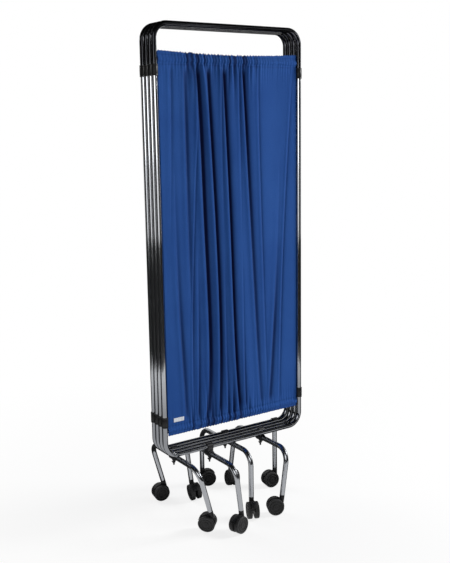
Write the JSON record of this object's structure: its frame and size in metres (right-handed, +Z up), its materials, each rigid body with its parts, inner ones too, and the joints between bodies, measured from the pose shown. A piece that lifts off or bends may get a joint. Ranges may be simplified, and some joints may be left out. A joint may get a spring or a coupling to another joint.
{
  "type": "folding privacy screen",
  "caption": "Folding ward privacy screen: tube frames with gathered curtains, hinged edge to edge, on foot bows with swivel castors, shown folded.",
  "frame": {"origin": "on the floor, under the middle of the folded screen", "axes": "+X along the panels, +Y from the front panel to the rear one, +Z up"},
  "size_m": [0.6048, 0.4618, 1.7117],
  "materials": {
    "bright_tube": "bright chrome plate",
    "dark_tube": "dark mirror finish",
    "foot_tube": "chrome plate",
    "curtain_rod": "plain",
    "curtain": "matt woven cloth",
    "collar": "satin moulded",
    "clamp": "satin moulded",
    "castor_hood": "satin moulded",
    "castor_wheel": "matt"
  },
  "bodies": {
    "panel_1": {"upper_tube_1": "dark_tube", "lower_tube_1": "bright_tube", "curtain_1": "curtain", "top_rod_1": "curtain_rod", "bottom_rod_1": "curtain_rod", "foot_bow_1": "foot_tube", "bow_clamp_1": "clamp", "end_collar_1_lower": "collar", "end_collar_1_upper": "collar"},
    "hinge_1_2": {"hinge_block_1_2_lower": "collar", "hinge_block_1_2_upper": "collar"},
    "panel_2": {"upper_tube_2": "dark_tube", "lower_tube_2": "bright_tube", "curtain_2": "curtain", "top_rod_2": "curtain_rod", "bottom_rod_2": "curtain_rod", "foot_bow_2": "foot_tube", "bow_clamp_2": "clamp"},
    "hinge_2_3": {"hinge_block_2_3_lower": "collar", "hinge_block_2_3_upper": "collar"},
    "panel_3": {"upper_tube_3": "dark_tube", "lower_tube_3": "bright_tube", "curtain_3": "curtain", "top_rod_3": "curtain_rod", "bottom_rod_3": "curtain_rod", "foot_bow_3": "foot_tube", "bow_clamp_3": "clamp"},
    "hinge_3_4": {"hinge_block_3_4_lower": "collar", "hinge_block_3_4_upper": "collar"},
    "panel_4": {"upper_tube_4": "dark_tube", "lower_tube_4": "bright_tube", "curtain_4": "curtain", "top_rod_4": "curtain_rod", "bottom_rod_4": "curtain_rod", "foot_bow_4": "foot_tube", "bow_clamp_4": "clamp", "end_collar_4_lower": "collar", "end_collar_4_upper": "collar", "free_leg": "foot_tube", "leg_clamp": "clamp"},
    "castor_1": {"castor_hood_1": "castor_hood"},
    "wheels_1": {"castor_wheels_1": "castor_wheel"},
    "castor_2": {"castor_hood_2": "castor_hood"},
    "wheels_2": {"castor_wheels_2": "castor_wheel"},
    "castor_3": {"castor_hood_3": "castor_hood"},
    "wheels_3": {"castor_wheels_3": "castor_wheel"},
    "castor_4": {"castor_hood_4": "castor_hood"},
    "wheels_4": {"castor_wheels_4": "castor_wheel"},
    "castor_5": {"castor_hood_5": "castor_hood"},
    "wheels_5": {"castor_wheels_5": "castor_wheel"},
    "castor_6": {"castor_hood_6": "castor_hood"},
    "wheels_6": {"castor_wheels_6": "castor_wheel"},
    "castor_7": {"castor_hood_7": "castor_hood"},
    "wheels_7": {"castor_wheels_7": "castor_wheel"},
    "castor_8": {"castor_hood_8": "castor_hood"},
    "wheels_8": {"castor_wheels_8": "castor_wheel"},
    "castor_9": {"castor_hood_9": "castor_hood"},
    "wheels_9": {"castor_wheels_9": "castor_wheel"}
  },
  "joints": [
    {"name": "hinge_1_2_turn", "type": "hinge", "parent": "panel_1", "child": "hinge_1_2", "pos_m": [-0.291, -0.0325, 0.982], "axis": [0, 0, 1], "range_deg": [0, 180]},
    {"name": "panel_2_turn", "type": "hinge", "parent": "hinge_1_2", "child": "panel_2", "pos_m": [-0.291, -0.0075, 0.982], "axis": [0, 0, 1], "range_deg": [0, 120]},
    {"name": "hinge_2_3_turn", "type": "hinge", "parent": "panel_2", "child": "hinge_2_3", "pos_m": [0.291, -0.0075, 0.982], "axis": [0, 0, -1], "range_deg": [0, 120]},
    {"name": "panel_3_turn", "type": "hinge", "parent": "hinge_2_3", "child": "panel_3", "pos_m": [0.291, 0.0175, 0.982], "axis": [0, 0, -1], "range_deg": [0, 120]},
    {"name": "hinge_3_4_turn", "type": "hinge", "parent": "panel_3", "child": "hinge_3_4", "pos_m": [-0.291, 0.0175, 0.982], "axis": [0, 0, 1], "range_deg": [0, 120]},
    {"name": "panel_4_turn", "type": "hinge", "parent": "hinge_3_4", "child": "panel_4", "pos_m": [-0.291, 0.0425, 0.982], "axis": [0, 0, 1], "range_deg": [0, 180]},
    {"name": "castor_1_swivel", "type": "hinge", "parent": "panel_3", "child": "castor_1", "pos_m": [-0.18839, -0.1475, 0.07881], "axis": [-0.2672, 0, 0.9636], "continuous": true},
    {"name": "wheels_1_spin", "type": "hinge", "parent": "castor_1", "child": "wheels_1", "pos_m": [-0.1899, -0.13142, 0.03377], "axis": [-0.7382, -0.6428, -0.2047], "continuous": true},
    {"name": "castor_2_swivel", "type": "hinge", "parent": "panel_3", "child": "castor_2", "pos_m": [-0.18828, 0.1825, 0.07845], "axis": [-0.2672, 0, 0.9636], "continuous": true},
    {"name": "wheels_2_spin", "type": "hinge", "parent": "castor_2", "child": "wheels_2", "pos_m": [-0.19678, 0.18578, 0.03147], "axis": [-0.1507, -0.9877, -0.0418], "continuous": true},
    {"name": "castor_3_swivel", "type": "hinge", "parent": "panel_1", "child": "castor_3", "pos_m": [-0.09451, -0.1975, 0.07632], "axis": [-0.1219, 0, 0.9925], "continuous": true},
    {"name": "wheels_3_spin", "type": "hinge", "parent": "castor_3", "child": "wheels_3", "pos_m": [-0.10931, -0.20329, 0.03118], "axis": [0.2736, -0.9613, 0.0336], "continuous": true},
    {"name": "castor_4_swivel", "type": "hinge", "parent": "panel_1", "child": "castor_4", "pos_m": [-0.09438, 0.1325, 0.07526], "axis": [-0.1219, 0, 0.9925], "continuous": true},
    {"name": "wheels_4_spin", "type": "hinge", "parent": "castor_4", "child": "wheels_4", "pos_m": [-0.09312, 0.11188, 0.03209], "axis": [0.9743, -0.1908, 0.1196], "continuous": true},
    {"name": "castor_5_swivel", "type": "hinge", "parent": "panel_4", "child": "castor_5", "pos_m": [0.00278, -0.1225, 0.073], "axis": [0, 0, 1], "continuous": true},
    {"name": "wheels_5_spin", "type": "hinge", "parent": "castor_5", "child": "wheels_5", "pos_m": [-0.00543, -0.14183, 0.03], "axis": [0.9205, -0.3907, 0], "continuous": true},
    {"name": "castor_6_swivel", "type": "hinge", "parent": "panel_4", "child": "castor_6", "pos_m": [0.00278, 0.2075, 0.073], "axis": [0, 0, 1], "continuous": true},
    {"name": "wheels_6_spin", "type": "hinge", "parent": "castor_6", "child": "wheels_6", "pos_m": [0.02239, 0.19997, 0.03], "axis": [0.3584, 0.9336, 0], "continuous": true},
    {"name": "castor_7_swivel", "type": "hinge", "parent": "panel_2", "child": "castor_7", "pos_m": [0.10347, -0.1725, 0.07154], "axis": [0.1478, 0, 0.989], "continuous": true},
    {"name": "wheels_7_spin", "type": "hinge", "parent": "castor_7", "child": "wheels_7", "pos_m": [0.07861, -0.16297, 0.03178], "axis": [-0.449, -0.891, 0.0671], "continuous": true},
    {"name": "castor_8_swivel", "type": "hinge", "parent": "panel_2", "child": "castor_8", "pos_m": [0.10392, 0.1575, 0.07454], "axis": [0.1478, 0, 0.989], "continuous": true},
    {"name": "wheels_8_spin", "type": "hinge", "parent": "castor_8", "child": "wheels_8", "pos_m": [0.09467, 0.1367, 0.03245], "axis": [0.9794, -0.1392, -0.1464], "continuous": true},
    {"name": "castor_9_swivel", "type": "hinge", "parent": "panel_4", "child": "castor_9", "pos_m": [0.2317, 0.0425, 0.073], "axis": [0, 0, 1], "continuous": true},
    {"name": "wheels_9_spin", "type": "hinge", "parent": "castor_9", "child": "wheels_9", "pos_m": [0.21102, 0.04614, 0.03], "axis": [-0.1736, -0.9848, 0], "continuous": true}
  ]
}
